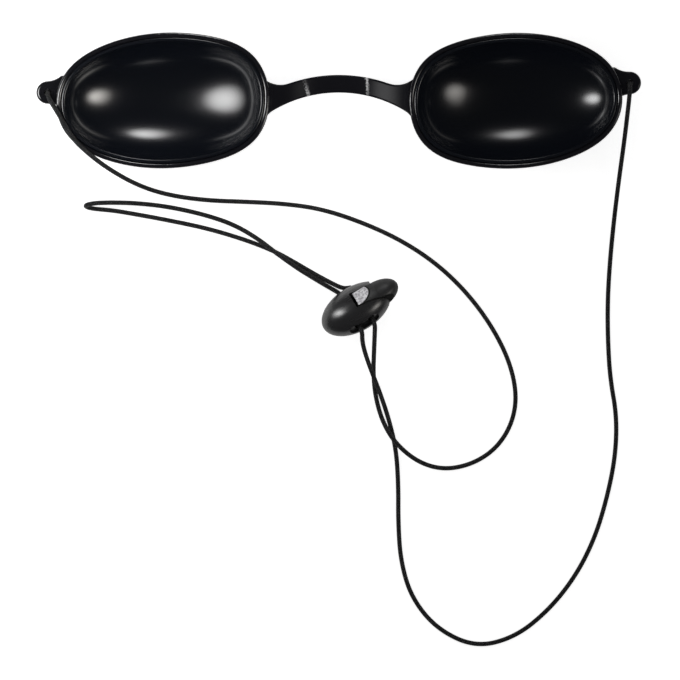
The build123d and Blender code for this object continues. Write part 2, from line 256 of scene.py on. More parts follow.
@dataclass
class NodeTree:
    """A node tree that is filled by short calls."""

    tree: bpy.types.NodeTree

    def feed(self, socket: Socket, value: object) -> None:
        """Links an output to a socket, or sets the socket's own value."""
        if isinstance(value, Socket):
            self.tree.links.new(value, socket)
        else:
            socket.default_value = value

    def fill(self, node: bpy.types.Node, **inputs: object) -> None:
        """Feeds inputs by name, with _ for a space, each with a value or another node's output."""
        for name, value in inputs.items():
            self.feed(node.inputs[name.replace("_", " ")], value)

    def add(self, kind: str, settings: dict | None = None, **inputs: object) -> bpy.types.Node:
        """Adds one node.

        Args:
            kind: the node's type.
            settings: its properties.
            inputs: its inputs, as fill takes them.

        Returns:
            The new node.
        """
        node = self.tree.nodes.new(kind)
        for name, value in (settings or {}).items():
            setattr(node, name, value)
        self.fill(node, **inputs)
        return node

    def calc(self, operation: str, first: object, second: object = 0.0) -> Socket:
        """Adds one math node and returns its output."""
        node = self.add("ShaderNodeMath", {"operation": operation})
        self.feed(node.inputs[0], first)
        self.feed(node.inputs[1], second)
        return node.outputs[0]

    def vector(self, operation: str, first: object, second: object, output: str) -> Socket:
        """Adds one vector math node and returns the named output."""
        node = self.add("ShaderNodeVectorMath", {"operation": operation})
        self.feed(node.inputs[0], first)
        self.feed(node.inputs[1], second)
        return node.outputs[output]

    def ramp(self, factor: object, low: float, high: float, start: float, end: float,
             curve: str = "LINEAR") -> Socket:
        """Maps a factor from low..high to start..end, held within them, and returns the result."""
        node = self.add("ShaderNodeMapRange", {"clamp": True, "interpolation_type": curve})
        for index, value in enumerate((factor, low, high, start, end)):
            self.feed(node.inputs[index], value)
        return node.outputs[0]

    def blend(self, factor: object, first: object, second: object) -> Socket:
        """Mixes two colours, each three numbers or another node's output, and returns the result."""
        node = self.add("ShaderNodeMix", {"data_type": "RGBA"}, Factor=factor)
        for index, colour in ((MIX_FIRST, first), (MIX_SECOND, second)):
            self.feed(node.inputs[index], (*colour, 1.0) if isinstance(colour, tuple) else colour)
        return node.outputs[MIX_RESULT]


def new_group(name: str, inputs: dict[str, float], outputs: tuple[str, ...]) -> tuple[NodeTree, dict, dict]:
    """Makes an empty shader node group.

    Args:
        name: the group's name.
        inputs: its number inputs with their values; Vector is added before them.
        outputs: the names of its outputs, which are numbers.

    Returns:
        The tree, the sockets of the group's inputs by name and those of its outputs.
    """
    tree = bpy.data.node_groups.new(name, "ShaderNodeTree")
    ports = tree.interface
    ports.new_socket("Vector", in_out="INPUT", socket_type="NodeSocketVector")
    for label, value in inputs.items():
        ports.new_socket(label, in_out="INPUT", socket_type="NodeSocketFloat").default_value = value
    for label in outputs:
        ports.new_socket(label, in_out="OUTPUT", socket_type="NodeSocketFloat")
    entry = tree.nodes.new("NodeGroupInput")
    leave = tree.nodes.new("NodeGroupOutput")
    return NodeTree(tree), {s.name: s for s in entry.outputs}, {s.name: s for s in leave.inputs}


def make_moulding_group() -> bpy.types.NodeTree:
    """Moulded plastic: a height of slow waves and fine grain, a roughness that varies, and rare specks."""
    numbers = {"Wave Size": 500.0, "Grain Size": 9000.0, "Grain": 0.3, "Rough": 0.2, "Rough Change": 0.05}
    nodes, source, result = new_group("moulding", numbers, ("Height", "Roughness", "Specks"))
    waves = nodes.add("ShaderNodeTexNoise", Vector=source["Vector"], Scale=source["Wave Size"], Detail=2.0)
    grain = nodes.add("ShaderNodeTexNoise", Vector=source["Vector"], Scale=source["Grain Size"], Detail=3.0)
    fine = nodes.calc("MULTIPLY", grain.outputs[0], source["Grain"])
    nodes.feed(result["Height"], nodes.calc("ADD", waves.outputs[0], fine))
    swing = nodes.calc("SUBTRACT", waves.outputs[0], NOISE_MIDDLE)
    swing = nodes.calc("MULTIPLY", swing, source["Rough Change"])
    nodes.feed(result["Roughness"], nodes.calc("ADD", swing, source["Rough"]))
    dust = nodes.add("ShaderNodeTexVoronoi", Vector=source["Vector"], Scale=SPECK_SCALE)
    nodes.feed(result["Specks"], nodes.ramp(dust.outputs["Distance"], *SPECK_FADE, 1.0, 0.0))
    return nodes.tree


def make_braid_group() -> bpy.types.NodeTree:
    """Round braid over a tube's UV map: two sets of strands cross in turn, with flecks on some of them.

    Each set's height is |sin pi (turn + rise)| or |sin pi (turn - rise)|, and a checker lets one set
    and then the other lie on top.
    """
    nodes, source, result = new_group("braid", {"Strands": 8.0, "Pitch": 2.6}, ("Height", "Fleck"))
    split = nodes.add("ShaderNodeSeparateXYZ", Vector=source["Vector"])
    turn = nodes.calc("MULTIPLY", split.outputs["X"], source["Strands"])
    rise = nodes.calc("DIVIDE", split.outputs["Y"], source["Pitch"])
    rise = nodes.calc("MULTIPLY", rise, source["Strands"])
    crossing = nodes.add("ShaderNodeCombineXYZ")
    crowns = []
    for axis, kind in enumerate(("ADD", "SUBTRACT")):
        strand = nodes.calc(kind, turn, rise)
        nodes.feed(crossing.inputs[axis], strand)
        wave = nodes.calc("SINE", nodes.calc("MULTIPLY", strand, math.pi))
        crowns.append(nodes.calc("ABSOLUTE", wave))
    over = nodes.add("ShaderNodeTexChecker", Vector=crossing.outputs[0], Scale=1.0)
    swap = nodes.add("ShaderNodeMix", Factor=over.outputs["Fac"], A=crowns[0], B=crowns[1])
    nodes.feed(result["Height"], swap.outputs[0])
    patchy = nodes.add("ShaderNodeTexNoise", Vector=crossing.outputs[0], Scale=FLECK_SCALE, Detail=1.0)
    fleck = nodes.ramp(patchy.outputs[0], *FLECK_RANGE, 0.0, 1.0)
    nodes.feed(result["Fleck"], nodes.calc("MULTIPLY", fleck, swap.outputs[0]))
    return nodes.tree


def new_material(name: str) -> tuple[bpy.types.Material, NodeTree, bpy.types.Node]:
    """Makes a material.

    Args:
        name: the material's name.

    Returns:
        The material, its node tree and the shader in it.
    """
    material = bpy.data.materials.new(name)
    material.use_nodes = True
    return material, NodeTree(material.node_tree), material.node_tree.nodes["Principled BSDF"]


@dataclass(frozen=True)
class PaintedGlint:
    """One painted highlight across the strap, where its bow mirrors a lamp, broken up by noise.

    middle is where it crosses y = 0, slant how far it leans for each millimetre of y, width its half
    width, and lower and upper how strong it is at the strap's lower and upper edge, whose y are edges.
    stir is the scale of the noise and sway the whole reach of the shift that it gives the line, as a
    share of the width. Up to the share core of the width the line is whole, and where the noise falls
    through gaps it thins out to gap_strength. Lengths are in millimetres.
    """

    middle: float
    slant: float
    width: float
    lower: float
    upper: float
    edges: tuple[float, float] = (1.2, 4.6)
    stir: float = 2400.0
    sway: float = 2.2
    core: float = 0.1
    gaps: tuple[float, float] = (0.35, 0.55)
    gap_strength: float = 0.25

    def mask(self, nodes: NodeTree, place: Socket) -> Socket:
        """Masks the line.

        The distance from the line is |x - middle + slant y|, shifted by the noise.

        Args:
            nodes: the material's tree.
            place: the Object coordinates.

        Returns:
            The mask, 1 where the line is strongest.
        """
        split = nodes.add("ShaderNodeSeparateXYZ", Vector=place)
        lean = nodes.calc("MULTIPLY", split.outputs["Y"], self.slant)
        away = nodes.calc("SUBTRACT", nodes.calc("ADD", split.outputs["X"], lean), self.middle * MM)
        noise = nodes.add("ShaderNodeTexNoise", Vector=place, Scale=self.stir, Detail=2.0).outputs[0]
        shift = nodes.calc("SUBTRACT", noise, NOISE_MIDDLE)
        shift = nodes.calc("MULTIPLY", shift, self.sway * self.width * MM)
        away = nodes.calc("ABSOLUTE", nodes.calc("ADD", away, shift))
        line = nodes.ramp(away, self.core * self.width * MM, self.width * MM, 1.0, 0.0, "SMOOTHSTEP")
        line = nodes.calc("MULTIPLY", line, nodes.ramp(noise, *self.gaps, self.gap_strength, 1.0))
        low, high = self.edges
        return nodes.calc("MULTIPLY", line,
                          nodes.ramp(split.outputs["Y"], low * MM, high * MM, self.lower, self.upper))


@dataclass(frozen=True)
class Plastic:
    """Moulded black plastic, glossy with a dull stretch if it has one.

    colour is the base colour, rough the middle of its roughness and change how far it varies, and ior
    and specular set its own shine. gloss is the share of clear coat, which is half as rough and has the
    index coat_ior. wave_size, grain_size, grain, bump and depth set the fine relief. Up to dull_half from
    the middle the surface is dull and has no clear coat, along each glint line a highlight is painted
    pale, and from the share dull_edge of that stretch on the dullness fades. Lengths are in millimetres.
    """

    name: str
    colour: Colour
    rough: float
    change: float
    ior: float
    wave_size: float
    grain: float
    bump: float
    grain_size: float = 9000.0
    depth: float = 0.02
    specular: float = 0.5
    gloss: float = 1.0
    coat_ior: float = 1.5
    dull_half: float = 0.0
    dull_edge: float = 0.85
    dull_rough: float = 0.22
    glint_colour: Colour = (0.85, 0.85, 0.86)
    glint_lines: tuple[PaintedGlint, ...] = ()

    def dull_and_glints(self, nodes: NodeTree, place: Socket) -> tuple[object, object]:
        """Masks the dull middle and the painted highlight lines on it.

        Args:
            nodes: the material's tree.
            place: the Object coordinates.

        Returns:
            The mask of the dull stretch and that of the painted highlight lines.
        """
        across = nodes.calc("ABSOLUTE", nodes.add("ShaderNodeSeparateXYZ", Vector=place).outputs["X"])
        end = self.dull_half * MM
        dull = nodes.ramp(across, self.dull_edge * end, end, 1.0, 0.0, "SMOOTHSTEP")
        glint_mask = 0.0
        for glint_line in self.glint_lines:
            glint_mask = nodes.calc("MAXIMUM", glint_mask, glint_line.mask(nodes, place))
        return dull, nodes.calc("MULTIPLY", glint_mask, dull)

    def build(self, moulding: bpy.types.NodeTree) -> bpy.types.Material:
        """Makes the material.

        Args:
            moulding: the node group of moulded plastic.

        Returns:
            The new material, with its pattern on Object coordinates.
        """
        material, nodes, shader = new_material(self.name)
        place = nodes.add("ShaderNodeTexCoord").outputs["Object"]
        relief = nodes.add("ShaderNodeGroup", {"node_tree": moulding}, Vector=place,
                           Wave_Size=self.wave_size, Grain_Size=self.grain_size, Grain=self.grain,
                           Rough=self.rough, Rough_Change=self.change)
        lighter = tuple(SPECK_GAIN * part + SPECK_LIFT for part in self.colour)
        specks = nodes.ramp(relief.outputs["Specks"], 0.0, 1.0, 0.0, SPECK_SHARE)
        colour = nodes.blend(specks, self.colour, lighter)
        rough = relief.outputs["Roughness"]
        gloss = self.gloss
        if self.dull_half:
            dull, glint_mask = self.dull_and_glints(nodes, place)
            # Painted highlight: pale lines where the bowed strap mirrors the lamps
            colour = nodes.blend(glint_mask, colour, self.glint_colour)
            rough = nodes.calc("MAXIMUM", rough, nodes.calc("MULTIPLY", dull, self.dull_rough))
            gloss = nodes.ramp(dull, 0.0, 1.0, self.gloss, 0.0)
        bump = nodes.add("ShaderNodeBump", Strength=self.bump, Distance=self.depth * MM,
                         Height=relief.outputs["Height"])
        nodes.fill(shader, Base_Color=colour, Roughness=rough, Normal=bump.outputs["Normal"], IOR=self.ior,
                   Specular_IOR_Level=self.specular, Coat_Weight=gloss, Coat_Roughness=self.rough / 2,
                   Coat_IOR=self.coat_ior)
        return material


@dataclass(frozen=True)
class Braid:
    """Charcoal braid of an elastic cord, with paler flecks where the strands catch the light."""

    name: str = "elastic_braid"
    dark: Colour = (0.006, 0.006, 0.0065)
    pale: Colour = (0.16, 0.16, 0.17)
    rough: float = 0.55
    sheen: float = 0.04
    sheen_rough: float = 0.4
    bump: float = 0.8
    depth: float = 0.12

    def build(self, braid: bpy.types.NodeTree) -> bpy.types.Material:
        """Makes the material.

        Args:
            braid: the node group of the braid.

        Returns:
            The new material, with its pattern on the UV map.
        """
        material, nodes, shader = new_material(self.name)
        place = nodes.add("ShaderNodeUVMap", {"uv_map": UV_NAME}).outputs["UV"]
        weave = nodes.add("ShaderNodeGroup", {"node_tree": braid}, Vector=place)
        bump = nodes.add("ShaderNodeBump", Strength=self.bump, Distance=self.depth * MM,
                         Height=weave.outputs["Height"])
        nodes.fill(shader, Base_Color=nodes.blend(weave.outputs["Fleck"], self.dark, self.pale),
                   Normal=bump.outputs["Normal"], Roughness=self.rough, Sheen_Weight=self.sheen,
                   Sheen_Roughness=self.sheen_rough)
        return material


@dataclass(frozen=True)
class LockPlastic:
    """Satin black of the lock, brushed one way, with painted shade at the seam and a painted pad highlight.

    The pad is what lies above a height along the lock's own third axis; its pale grainy colour is a
    painted highlight, and a dark border round it is painted shade. The seam's painted shadow runs at
    y = seam_level in the lock's own place, from x = seam_start on. The pad, its shaded border and the
    seam shadow are at least as rough as matt, and the border and the seam shadow are whole up to the
    share core of their width. Lengths are in millimetres.
    """

    name: str
    rough: float
    coat: float
    has_pad: bool = False
    colour: Colour = (0.025, 0.025, 0.0265)
    change: float = 0.3
    ior: float = 1.75
    coat_rough: float = 0.28
    wave_size: float = 700.0
    grain_size: float = 5200.0
    grain_stretch: float = 0.18
    bump: float = 0.6
    depth: float = 0.02
    pad_highlight_pale: Colour = (0.95, 0.94, 0.97)
    pad_highlight_dark: Colour = (0.48, 0.47, 0.50)
    pad_edge: float = 0.04
    pad_grain_scale: float = 1900.0
    pad_grain_range: tuple[float, float] = (0.38, 0.58)
    shade_rim: float = 0.16
    seam_shade_colour: Colour = (0.001, 0.001, 0.001)
    seam_start: float = 0.3
    seam_level: float = -3.05
    seam_half: float = 0.32
    core: float = 0.7
    matt: float = 0.85

    def seam(self, nodes: NodeTree, x: Socket, y: Socket) -> Socket:
        """Masks the painted shadow along the seam, from the x and y of the lock's own place."""
        beyond = nodes.calc("GREATER_THAN", x, self.seam_start * MM)
        away = nodes.calc("ABSOLUTE", nodes.calc("SUBTRACT", y, self.seam_level * MM))
        near = nodes.ramp(away, self.core * self.seam_half * MM, self.seam_half * MM, 1.0, 0.0)
        return nodes.calc("MULTIPLY", beyond, near)

    def pad(self, nodes: NodeTree, z: Socket) -> tuple[object, object]:
        """Masks the pad's painted highlight and its painted shade border, from the z of the lock's own
        place.
        """
        edge = (PAD_HEIGHT - self.pad_edge) * MM
        top = nodes.ramp(z, edge, edge + self.pad_edge / 2 * MM, 0.0, 1.0)
        whole = nodes.ramp(z, edge - self.shade_rim * MM, edge - self.core * self.shade_rim * MM, 0.0, 1.0)
        return top, nodes.calc("SUBTRACT", whole, top)

    def build(self, moulding: bpy.types.NodeTree) -> bpy.types.Material:
        """Makes the material.

        Args:
            moulding: the node group of moulded plastic.

        Returns:
            The new material, with its grain, seam and pad in the lock's own directions.
        """
        material, nodes, shader = new_material(self.name)
        place = nodes.add("ShaderNodeTexCoord")
        own = nodes.add("ShaderNodeMapping", {"vector_type": "TEXTURE"}, Vector=place.outputs["Object"],
                        Location=tuple(part * MM for part in LOCK_CENTRE),
                        Rotation=(-LOCK_ROLL, 0.0, LOCK_HEADING)).outputs[0]
        stretched = nodes.vector("MULTIPLY", own, (self.grain_stretch, 1.0, 1.0), "Vector")
        relief = nodes.add("ShaderNodeGroup", {"node_tree": moulding}, Vector=stretched,
                           Wave_Size=self.wave_size, Grain_Size=self.grain_size, Grain=1.0,
                           Rough=self.rough, Rough_Change=self.change)
        x, y, z = nodes.add("ShaderNodeSeparateXYZ", Vector=own).outputs
        # Painted shade: a dark line along the seam
        dark = self.seam(nodes, x, y)
        matt = dark
        colour = self.colour
        if self.has_pad:
            # Painted highlight on the pad, and painted shade in a border round it
            top, shade_rim = self.pad(nodes, z)
            dark = nodes.calc("MAXIMUM", dark, shade_rim)
            matt = nodes.calc("MAXIMUM", top, dark)
            pad_grain = nodes.add("ShaderNodeTexNoise", Vector=own, Scale=self.pad_grain_scale, Detail=3.0)
            pad_highlight = nodes.blend(nodes.ramp(pad_grain.outputs[0], *self.pad_grain_range, 0.0, 1.0),
                               self.pad_highlight_dark, self.pad_highlight_pale)
            colour = nodes.blend(top, colour, pad_highlight)
        bump = nodes.add("ShaderNodeBump", Strength=self.bump, Distance=self.depth * MM,
                         Height=relief.outputs["Height"])
        rough = nodes.calc("MAXIMUM", relief.outputs["Roughness"], nodes.calc("MULTIPLY", matt, self.matt))
        nodes.fill(shader, Base_Color=nodes.blend(dark, colour, self.seam_shade_colour), Roughness=rough,
                   Normal=bump.outputs["Normal"], IOR=self.ior, Coat_Weight=self.coat,
                   Coat_Roughness=self.coat_rough)
        return material


@dataclass(frozen=True)
class Steel:
    """Bright drawn spring wire."""

    name: str = "spring_wire"
    colour: Colour = (0.55, 0.55, 0.56)
    rough: float = 0.3

    def build(self, moulding: bpy.types.NodeTree) -> bpy.types.Material:
        """Makes the material, with the slight changes of roughness of the given group."""
        material, nodes, shader = new_material(self.name)
        place = nodes.add("ShaderNodeTexCoord")
        relief = nodes.add("ShaderNodeGroup", {"node_tree": moulding}, Vector=place.outputs["Object"],
                           Rough=self.rough)
        nodes.fill(shader, Base_Color=(*self.colour, 1.0), Metallic=1.0,
                   Roughness=relief.outputs["Roughness"])
        return material


@dataclass
class EyeCup:
    """One opaque eye cup: an egg-shaped bowl whose lip sits in the ring.

    Lengths are in millimetres. first_angle is where the bowl's first ring lies beside its middle,
    neck_rise how far above the lip's low edge the underside's ellipse has its top, and last_cosine
    where its last ring lies beside the crown.
    """

    side: Side
    lip_inset: float = 1.35
    lip_width: float = 0.85
    lip_round: float = 0.28
    lip_low: float = 10.7
    neck_inset: float = 1.95
    neck_rise: float = 1.0
    bowl_low: float = 1.3
    first_angle: float = 0.03
    last_cosine: float = 0.999
    around: int = 192
    deep: int = 56
    round_steps: int = 6

    def profile(self) -> Array:
        """Section of the cup's wall from the middle of the bowl, over the lip, to the middle underneath.

        Both faces of the bowl are quarter ellipses: share = sin f and height = top - depth cos f. The
        lip's two edges are quarter circles.

        Returns:
            Rows of inset, share and height.
        """
        fall = np.linspace(self.first_angle, math.pi / 2, self.deep)
        bowl_inset = self.lip_inset + self.lip_width
        bowl_top = RIM_HEIGHT - self.lip_round
        inner = np.stack([np.full(self.deep, bowl_inset), np.sin(fall),
                          bowl_top - (bowl_top - self.bowl_low) * np.cos(fall)], axis=-1)
        arc = np.linspace(0, math.pi / 2, self.round_steps)[1:]
        inwards = self.lip_round * (1 - np.cos(arc))
        rise = bowl_top + self.lip_round * np.sin(arc)
        inner_edge = np.stack([bowl_inset - inwards, np.ones_like(arc), rise], axis=-1)
        outer_edge = np.stack([self.lip_inset + inwards, np.ones_like(arc), rise], axis=-1)[::-1]
        step = np.array([(self.lip_inset, 1.0, bowl_top), (self.lip_inset, 1.0, self.lip_low),
                         (self.neck_inset, 1.0, self.lip_low)])
        neck_top = self.lip_low + self.neck_rise
        fall_out = np.arccos(np.linspace(self.neck_rise / neck_top, self.last_cosine, self.deep))
        outer = np.stack([np.full(self.deep, self.neck_inset), np.sin(fall_out),
                          neck_top - neck_top * np.cos(fall_out)], axis=-1)
        return np.concatenate([inner, inner_edge, outer_edge, step, outer])

    def build(self, finish: bpy.types.Material) -> None:
        """Carries the section round the egg outline and hands the cup on.

        Args:
            finish: the cup's material.
        """
        profile = self.profile()
        angle = np.linspace(0, 2 * math.pi, self.around, endpoint=False)[None, :]
        plan = egg(profile[:, :1], profile[:, 1:2], angle)
        height = np.broadcast_to(profile[:, 2:], plan.shape[:2])[..., None]
        rows = place_at(self.side, np.concatenate([plan, height], axis=-1))
        poles = place_at(self.side, np.array([(0.0, 0.0, self.bowl_low), (0.0, 0.0, 0.0)]))
        if self.side is Side.LEFT:
            # Only the right cup is mirrored, so the left one's rings run the other way to face outwards
            rows = rows[:, ::-1]
        name = self.side.name.lower()
        piece = round_surface(name + "_eye_cup", rows, poles[0], poles[1], np.linspace(0, 1, len(profile)))
        piece.data.materials.append(finish)
        hand_on(piece, "root", Slot.CUP, name + "_cup")


def tube_rows(line: Array, radius: float, sides: int) -> Array:
    """Rings of points round a line.

    Each ring's first direction is the one before it, carried on without twist.

    Args:
        line: points of the centreline in millimetres.
        radius: the tube's radius.
        sides: points in a ring.

    Returns:
        Points shaped (line points, sides, 3).
    """
    ahead = np.gradient(line, axis=0)
    ahead /= np.linalg.norm(ahead, axis=1, keepdims=True)
    first = np.empty_like(line)
    carried = np.cross(ahead[0], TUBE_START)
    for index, direction in enumerate(ahead):
        carried = carried - direction * np.dot(carried, direction)
        carried /= np.linalg.norm(carried)
        first[index] = carried
    second = np.cross(ahead, first)
    angle = np.linspace(0, 2 * math.pi, sides, endpoint=False)[None, :, None]
    return line[:, None] + radius * (first[:, None] * np.cos(angle) + second[:, None] * np.sin(angle))


def even_line(line: Array, spacing: float) -> tuple[Array, Array]:
    """Spaces the points of a line evenly.

    Args:
        line: points in millimetres.
        spacing: distance between the new points.

    Returns:
        The new points and how far along the line each one is.
    """
    steps = np.linalg.norm(np.diff(line, axis=0), axis=1)
    along = np.concatenate([[0.0], np.cumsum(steps)])
    places = np.linspace(0, along[-1], int(along[-1] / spacing) + 1)
    return np.stack([np.interp(places, along, line[:, axis]) for axis in range(3)], axis=-1), places


def tube(name: str, line: Array, spacing: float, radius: float,
         sides: int) -> tuple[Piece, Array, Array]:
    """Makes a closed round tube along a line.

    Args:
        name: name of the object.
        line: points of the centreline in millimetres.
        spacing: distance between the tube's rings.
        radius: the tube's radius.
        sides: points in a ring.

    Returns:
        The new object, the middles of its rings and how far along the line each one is.
    """
    middles, along = even_line(line, spacing)
    rows = tube_rows(middles, radius, sides)
    return round_surface(name, rows, middles[0], middles[-1], along), middles, along


@dataclass
class ElasticCord:
    """The one cord from ear to ear, through both holes of the lock."""

    route: tuple[Point, ...] = LEFT_RUN + TAIL_LOOP + RIGHT_RUN
    spacing: float = 0.3
    sides: int = 14
    order: int = 3
    resolution: int = 24

    def line(self) -> Array:
        """Points along the smooth curve whose control points are the route."""
        data = bpy.data.curves.new("cord_line", "CURVE")
        data.dimensions = "3D"
        data.resolution_u = self.resolution
        spline = data.splines.new("NURBS")
        spline.points.add(len(self.route) - 1)
        for point, place in zip(spline.points, self.route):
            point.co = (*place, 1.0)
        spline.order_u = self.order
        spline.use_endpoint_u = True
        holder = bpy.data.objects.new("cord_line", data)
        mesh = bpy.data.meshes.new_from_object(holder)
        points = np.empty(len(mesh.vertices) * 3)
        mesh.vertices.foreach_get("co", points)
        bpy.data.objects.remove(holder)
        bpy.data.meshes.remove(mesh)
        return points.reshape(-1, 3)

    def build(self, finish: bpy.types.Material, riders: list[Piece]) -> None:
        """Args:
            finish: the cord's material.
            riders: the pieces on the cord; not used.
        """
        piece, line, along = tube("elastic_cord", self.line(), self.spacing, CORD_DIAMETER / 2, self.sides)
        piece.data.materials.append(finish)
        hand_on(piece, "root", Slot.CORD, "cord_left_run", "cord_tail_loop", "cord_right_run")
        LOG.info("cord line is %.1f mm long", along[-1])


@dataclass
class CordKnot:
    """Tight overhand knot under an ear tab, with its cut tail.

    Lengths are in millimetres. open_angle is what is left out of the knot's turn at each end, ease how
    many points on each side its line is eased over, and hang the gap under the tab. The points of entry
    are counted from the knot's top and those of leave from its bottom.
    """

    side: Side
    reach: float = 0.9
    rise: float = 0.78
    strand: float = 0.52
    open_angle: float = 0.35
    entry: tuple[Point, ...] = ((0.0, 0.0, 0.2), (0.0, 0.1, -0.35))
    leave: tuple[Point, ...] = ((0.1, 0.3, 0.25), (0.0, 0.75, -0.55), (0.0, 1.1, -1.05))
    hang: float = 0.2
    samples: int = 160
    fine_spacing: float = 0.05
    ease: int = 7
    spacing: float = 0.12
    sides: int = 14

    def line(self) -> Array:
        """Open trefoil: x = sin t + 2 sin 2t, y = cos t - 2 cos 2t, z = -sin 3t, led out at both ends."""
        turn = np.linspace(self.open_angle, 2 * math.pi - self.open_angle, self.samples)
        plan = self.reach / 3
        knot = np.stack([plan * (np.sin(turn) + 2 * np.sin(2 * turn)),
                         plan * (np.cos(turn) - 2 * np.cos(2 * turn)),
                         -self.rise * np.sin(3 * turn)], axis=-1)
        top = np.array((0.0, 0.0, self.rise + self.strand))
        return np.concatenate([top + self.entry, knot, self.leave - top])

    def smooth_line(self) -> Array:
        """The knot's line, eased by a running mean so that its ends join it softly."""
        line, _ = even_line(self.line(), self.fine_spacing)
        padded = np.concatenate([np.repeat(line[:1], self.ease, axis=0), line,
                                 np.repeat(line[-1:], self.ease, axis=0)])
        count = 2 * self.ease + 1
        window = np.ones(count) / count
        return np.stack([np.convolve(padded[:, axis], window, mode="valid") for axis in range(3)], axis=-1)

    def build(self, finish: bpy.types.Material) -> Piece:
        """Makes the knot under its ear tab and hands it on.

        Args:
            finish: the cord's material.

        Returns:
            The knot.
        """
        hole = place_at(self.side, np.array((-EAR_REACH, EAR_OFFSET, EAR_UNDERSIDE)))
        centre = hole - (0.0, 0.0, self.rise + self.strand + self.hang)
        name = self.side.name.lower()
        line = self.smooth_line() + centre
        piece, _, _ = tube(name + "_cord_knot", line, self.spacing, self.strand, self.sides)
        piece.data.materials.append(finish)
        hand_on(piece, "root", Slot.CORD, name + "_knot")
        return piece


@dataclass
class LockSpring:
    """Coil spring in the lock's pocket, which shortens as the plunger is pressed in.

    Its sizes are in millimetres in the lock's own place, whose x runs along the plunger's slide.
    """

    pocket_end: float = -6.3
    stem_end: float = -4.2
    stem_middle: float = -0.35
    wire: float = 0.3
    radius: float = 1.2
    turns: int = 3
    travel: float = 0.6
    clearance: float = 0.03
    steps: int = 120
    sides: int = 12

    def line(self) -> Array:
        """Helix along the lock: x rises evenly, y and z are radius cos t and radius sin t, then placed."""
        angle = np.linspace(0, 2 * math.pi * self.turns, self.steps)
        along = np.linspace(self.pocket_end + self.wire / 2, self.stem_end - self.wire / 2, self.steps)
        across = self.stem_middle + self.radius * np.cos(angle)
        rise = self.radius * np.sin(angle)
        rolled = across * math.cos(LOCK_ROLL) + rise * math.sin(LOCK_ROLL)
        height = rise * math.cos(LOCK_ROLL) - across * math.sin(LOCK_ROLL)
        x = along * math.cos(LOCK_HEADING) - rolled * math.sin(LOCK_HEADING)
        y = along * math.sin(LOCK_HEADING) + rolled * math.cos(LOCK_HEADING)
        return np.stack([x, y, height], axis=-1) + LOCK_CENTRE

    def build(self, finish: bpy.types.Material) -> Piece:
        """Makes the spring and hands it on, with a mesh of its own.

        Args:
            finish: the wire's material.

        Returns:
            The spring.
        """
        piece, _, _ = tube("coil_spring", self.line(), self.wire / 3, self.wire / 2, self.sides)
        piece.data.materials.append(finish)
        hand_on(piece, "root", Slot.SPRING, "lock_spring")
        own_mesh(piece)
        return piece


def dress_node(frame: dict, node: str, finish: bpy.types.Material) -> Piece:
    """Gives a solid its finish, with its shape as it is.

    Args:
        node: the solid's name.
        finish: its material.

    Returns:
        The solid's object.
    """
    piece = frame["nodes"][node]
    piece.data.materials.clear()
    piece.data.materials.append(finish)
    LOG.info("%s keeps its solid", node)
    return piece


@dataclass(frozen=True)
class SoftLamp:
    """A lamp face that is brightest in its middle and fades to its edge.

    place and aim are points in millimetres, width and height the size of its face, level how bright
    its middle looks, where 1 is white, and spread how far to the side it shines, in degrees. full and
    faint are the distances from the face's middle, in shares of its size, at which it starts to fade
    and has gone dark.
    """

    name: str
    place: Point
    aim: Point
    width: float
    height: float
    level: float
    spread: float = 180.0
    tint: Colour = (1.0, 1.0, 1.0)
    full: float = 0.08
    faint: float = 0.5

    def build(self) -> None:
        """Hangs the lamp, turned to its aim and hidden from the camera."""
        data = bpy.data.lights.new(self.name, "AREA")
        data.shape = "RECTANGLE"
        data.size = self.width * MM
        data.size_y = self.height * MM
        data.energy = self.level * math.pi * self.width * self.height * MM ** 2
        data.spread = math.radians(self.spread)
        data.color = self.tint
        data.use_nodes = True
        nodes = NodeTree(data.node_tree)
        face = nodes.add("ShaderNodeNewGeometry").outputs["Parametric"]
        away = nodes.vector("DISTANCE", face, FACE_MIDDLE, "Value")
        glow = nodes.ramp(away, self.full, self.faint, 1.0, 0.0, "SMOOTHSTEP")
        nodes.fill(data.node_tree.nodes["Emission"], Strength=glow)
        lamp = bpy.data.objects.new(self.name, data)
        back = np.array(self.place, float) - np.array(self.aim, float)
        turn = math.atan2(back[1], back[0])
        lean = math.atan2(math.hypot(back[0], back[1]), back[2])
        lamp.location = tuple(part * MM for part in self.place)
        lamp.rotation_euler = (0.0, lean, turn)
        lamp.visible_camera = False
        bpy.context.scene.collection.objects.link(lamp)


